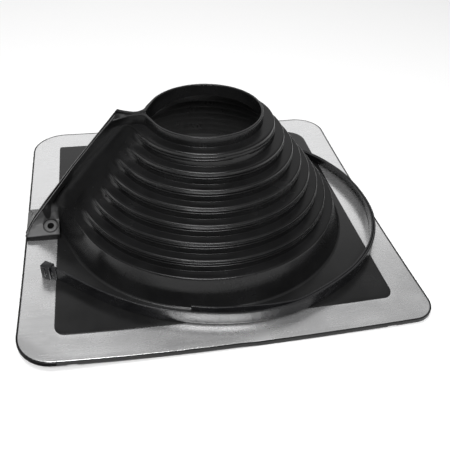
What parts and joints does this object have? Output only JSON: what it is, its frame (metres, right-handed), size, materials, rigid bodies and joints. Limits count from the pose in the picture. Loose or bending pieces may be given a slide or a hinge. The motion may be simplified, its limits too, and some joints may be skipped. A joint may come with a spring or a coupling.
{
  "type": "pipe flashing boot",
  "caption": "Square split flashing boot: stepped rubber cone with a seam of two flaps, aluminium edge frame and a loose clamping tie.",
  "frame": {"origin": "on the roof plane under the middle of the square base, below the cone's axis", "axes": "+Z along the cone's axis away from the roof, seam towards -X, +Y completes the right-handed frame"},
  "size_m": [0.356, 0.356, 0.1245],
  "materials": {
    "rubber": "matt moulded black rubber",
    "aluminium": "satin soft sheet",
    "nylon": "satin black nylon"
  },
  "bodies": {
    "root": {"rubber_boot": "rubber", "aluminium_flange": "aluminium", "cable_tie": "nylon"}
  },
  "joints": []
}
